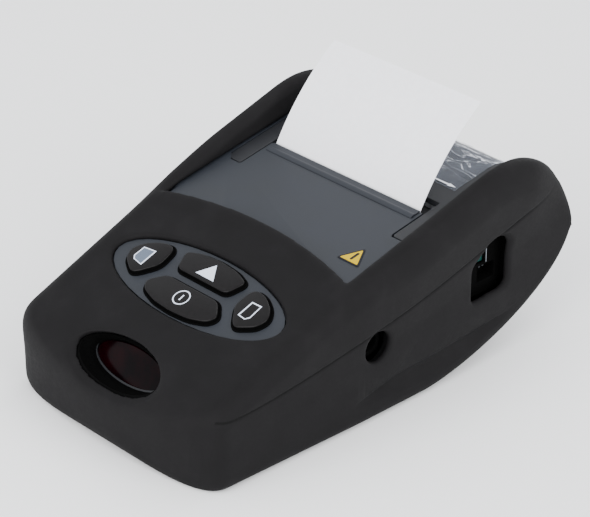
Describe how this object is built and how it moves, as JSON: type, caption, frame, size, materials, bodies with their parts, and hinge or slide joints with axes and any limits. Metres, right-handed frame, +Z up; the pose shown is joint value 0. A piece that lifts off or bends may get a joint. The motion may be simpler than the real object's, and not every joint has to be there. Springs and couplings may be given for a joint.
{
  "type": "portable thermal label printer",
  "caption": "Handheld thermal printer in a charcoal rubber boot, with a clamshell lid over its paper roll, oval keypad, infrared window and a strip of paper fed out.",
  "frame": {"origin": "on the surface the printer stands on, under the middle of its body", "axes": "+Z up, +Y towards the lid's hinge at the rear, +X towards the side with the sockets"},
  "size_m": [0.0896, 0.14, 0.0734],
  "materials": {
    "rubber": "matte moulded rubber",
    "platen_rubber": "ground rubber roller",
    "slate_plastic": "fine-textured moulding",
    "lid_plastic": "fine-textured moulding",
    "black_plastic": "fine-textured moulding",
    "key_plastic": "satin",
    "steel": "satin",
    "heat_sink_aluminium": "extruded",
    "ceramic_head": "polished",
    "circuit_board": "solder mask",
    "red_window": "polished, infrared-passing",
    "clear_film": "clear, creased",
    "nylon": "moulded",
    "cell_wrap": "printed sleeve",
    "paper": "smooth thermal coating",
    "cardboard": "wound kraft board",
    "yellow_label": "printed vinyl"
  },
  "bodies": {
    "housing": {"rubber_boot": "rubber", "upper_case": "slate_plastic", "tear_bar": "slate_plastic", "lower_case": "black_plastic", "processor_chip": "black_plastic", "dc_jack": "black_plastic", "data_port": "black_plastic", "ir_sensor": "black_plastic", "window_tunnel": "black_plastic", "paper_sensor": "black_plastic", "print_head": "ceramic_head", "switch_status": "steel", "switch_form": "steel", "switch_feed": "steel", "switch_power": "steel", "case_screw_front_right": "steel", "case_screw_front_left": "steel", "case_screw_rear_right": "steel", "case_screw_rear_left": "steel", "battery_cell_1": "cell_wrap", "battery_cell_2": "cell_wrap", "battery_cell_3": "cell_wrap", "battery_cell_4": "cell_wrap", "battery_contact_front": "steel", "battery_contact_rear": "steel", "mech_frame": "steel", "stepper_motor": "steel", "head_spring": "steel", "idler_stud": "steel", "lid_hinge_pin": "steel", "heat_sink": "heat_sink_aluminium", "keypad_board": "circuit_board", "main_board": "circuit_board", "port_board": "circuit_board", "ir_window": "red_window", "paper_strip": "paper", "caution_label": "yellow_label"},
    "lid": {"paper_lid": "lid_plastic", "lid_film": "clear_film", "platen_bearing_right": "nylon", "platen_bearing_left": "nylon"},
    "platen": {"platen_rubber": "platen_rubber", "platen_shaft": "steel", "platen_gear": "nylon"},
    "roll": {"paper_roll": "paper", "roll_core": "cardboard"},
    "idler": {"idler_gear": "nylon"},
    "pinion": {"motor_pinion": "steel"},
    "battery_door": {"battery_cover": "black_plastic"},
    "button_status": {"key_status": "key_plastic"},
    "button_form": {"key_form": "key_plastic"},
    "button_feed": {"key_feed": "key_plastic"},
    "button_power": {"key_power": "key_plastic"}
  },
  "joints": [
    {"name": "lid_hinge", "type": "hinge", "parent": "housing", "child": "lid", "pos_m": [0, 0.0636, 0.0244], "axis": [-1, 0, 0], "range_deg": [0, 100]},
    {"name": "roll_spin", "type": "hinge", "parent": "housing", "child": "roll", "pos_m": [0, 0.043, 0.031], "axis": [1, 0, 0], "continuous": true},
    {"name": "platen_spin", "type": "hinge", "parent": "lid", "child": "platen", "pos_m": [0, 0.026, 0.0426], "axis": [1, 0, 0], "continuous": true},
    {"name": "idler_spin", "type": "hinge", "parent": "housing", "child": "idler", "pos_m": [0, 0.02044, 0.03297], "axis": [1, 0, 0], "continuous": true},
    {"name": "pinion_spin", "type": "hinge", "parent": "housing", "child": "pinion", "pos_m": [0, 0.01219, 0.02802], "axis": [1, 0, 0], "continuous": true},
    {"name": "battery_door_slide", "type": "slide", "parent": "housing", "child": "battery_door", "axis": [0, 1, 0], "range_m": [0, 0.008]},
    {"name": "button_status_press", "type": "slide", "parent": "housing", "child": "button_status", "axis": [0, 0.3585, -0.9335], "range_m": [0, 0.001], "stiffness_N_per_m": 800, "springref_m": -0.0006},
    {"name": "button_form_press", "type": "slide", "parent": "housing", "child": "button_form", "axis": [0, 0.3585, -0.9335], "range_m": [0, 0.001], "stiffness_N_per_m": 800, "springref_m": -0.0006},
    {"name": "button_feed_press", "type": "slide", "parent": "housing", "child": "button_feed", "axis": [0, 0.3585, -0.9335], "range_m": [0, 0.001], "stiffness_N_per_m": 800, "springref_m": -0.0006},
    {"name": "button_power_press", "type": "slide", "parent": "housing", "child": "button_power", "axis": [0, 0.3585, -0.9335], "range_m": [0, 0.001], "stiffness_N_per_m": 800, "springref_m": -0.0006}
  ],
  "couplings": [
    {"joint": "platen_spin", "follows": "roll_spin", "ratio": 4},
    {"joint": "idler_spin", "follows": "roll_spin", "ratio": -2.2857},
    {"joint": "pinion_spin", "follows": "roll_spin", "ratio": 6.4}
  ]
}
